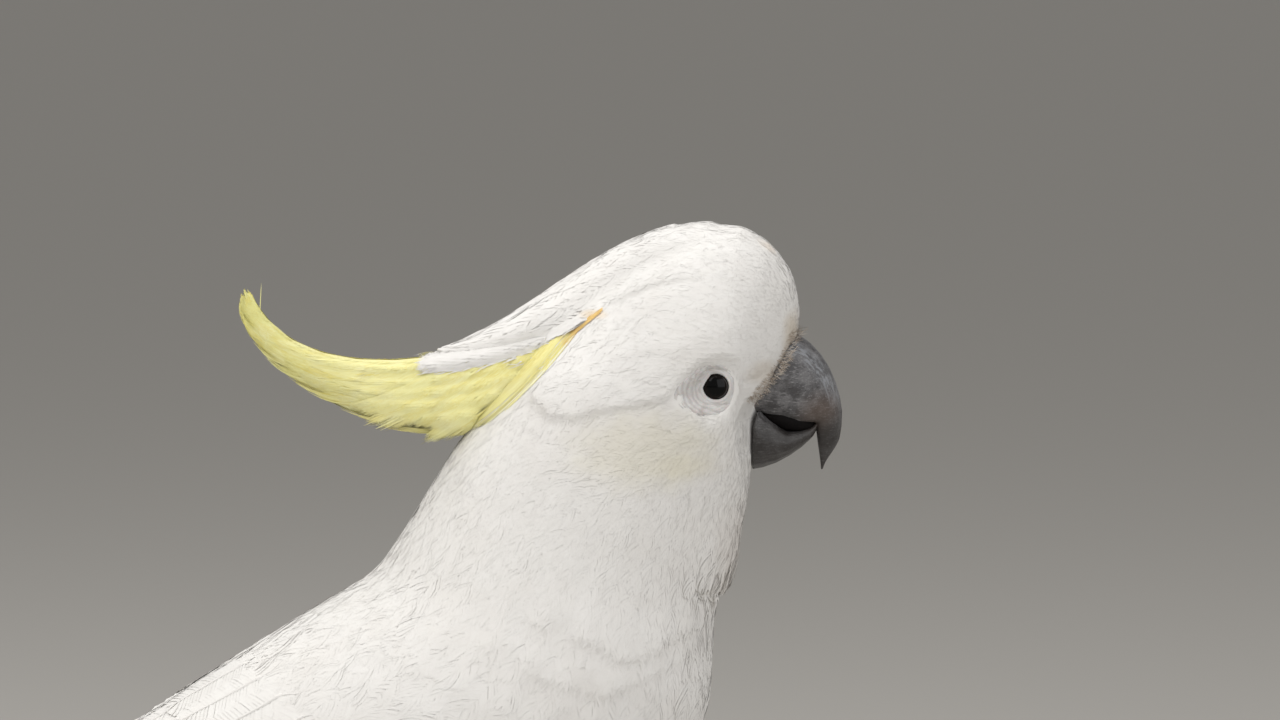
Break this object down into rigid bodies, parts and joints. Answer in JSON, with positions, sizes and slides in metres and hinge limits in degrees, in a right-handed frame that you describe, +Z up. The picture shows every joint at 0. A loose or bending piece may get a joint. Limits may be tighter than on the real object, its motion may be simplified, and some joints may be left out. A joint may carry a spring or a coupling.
{
  "type": "sulphur-crested cockatoo model",
  "caption": "life-size standing white cockatoo with a yellow crest laid back and curling up at its end, a dark hooked bill, folded wings and a straight tail",
  "frame": {"origin": "on the ground, under the middle of the box that holds the whole bird", "axes": "+X is the way the bird faces, from tail tip to bill, +Y is its left, +Z is up"},
  "size_m": [0.4546, 0.1112, 0.3114],
  "materials": {
    "white_plumage": "white feathers",
    "yellow_plumage": "sulphur-yellow feathers",
    "horn": "dark grey horn",
    "eye": "wet, near black",
    "bare_skin": "pale bare skin",
    "scaly_skin": "dark grey scaly skin",
    "tongue": "dark, moist"
  },
  "bodies": {
    "root": {"head": "white_plumage", "neck": "white_plumage", "trunk": "white_plumage", "crest_cover": "white_plumage", "crest_plume_1": "yellow_plumage", "crest_plume_2": "yellow_plumage", "crest_plume_3": "yellow_plumage", "crest_plume_4": "yellow_plumage", "crest_plume_5": "yellow_plumage", "crest_plume_6": "yellow_plumage", "bill_upper": "horn", "bill_lower": "horn", "tongue": "tongue", "tail": "white_plumage", "eye_right": "eye", "eyelid_right": "bare_skin", "wing_right_coverts": "white_plumage", "wing_right_secondaries": "white_plumage", "wing_right_primaries": "white_plumage", "thigh_right": "white_plumage", "shank_right": "scaly_skin", "foot_right": "scaly_skin", "claw_right_inner_front": "horn", "claw_right_outer_front": "horn", "claw_right_inner_back": "horn", "claw_right_outer_back": "horn", "eye_left": "eye", "eyelid_left": "bare_skin", "wing_left_coverts": "white_plumage", "wing_left_secondaries": "white_plumage", "wing_left_primaries": "white_plumage", "thigh_left": "white_plumage", "shank_left": "scaly_skin", "foot_left": "scaly_skin", "claw_left_inner_front": "horn", "claw_left_outer_front": "horn", "claw_left_inner_back": "horn", "claw_left_outer_back": "horn"}
  },
  "joints": []
}
